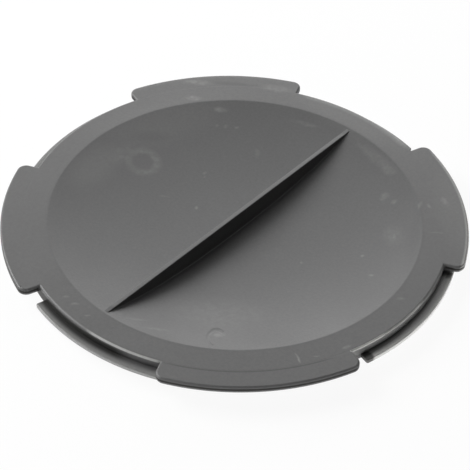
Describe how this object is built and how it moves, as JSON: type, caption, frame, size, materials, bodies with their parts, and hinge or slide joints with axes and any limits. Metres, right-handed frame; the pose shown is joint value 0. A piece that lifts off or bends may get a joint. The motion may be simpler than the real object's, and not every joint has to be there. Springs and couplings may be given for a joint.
{
  "type": "blanking cap",
  "caption": "Round plastic blanking cap for a duct collar: flat rim round a shallow dish, a straight grip rib across it, tabs over the collar and thin locking lugs between them.",
  "frame": {"origin": "on the cap's axis, at the lowest point of the dish's underside, on which it rests", "axes": "+Z out of the duct, towards the face with the grip rib; X along the grip rib"},
  "size_m": [0.157, 0.157, 0.0095],
  "materials": {
    "grey_plastic": "satin, as moulded"
  },
  "bodies": {
    "root": {"blanking_cap": "grey_plastic"}
  },
  "joints": []
}
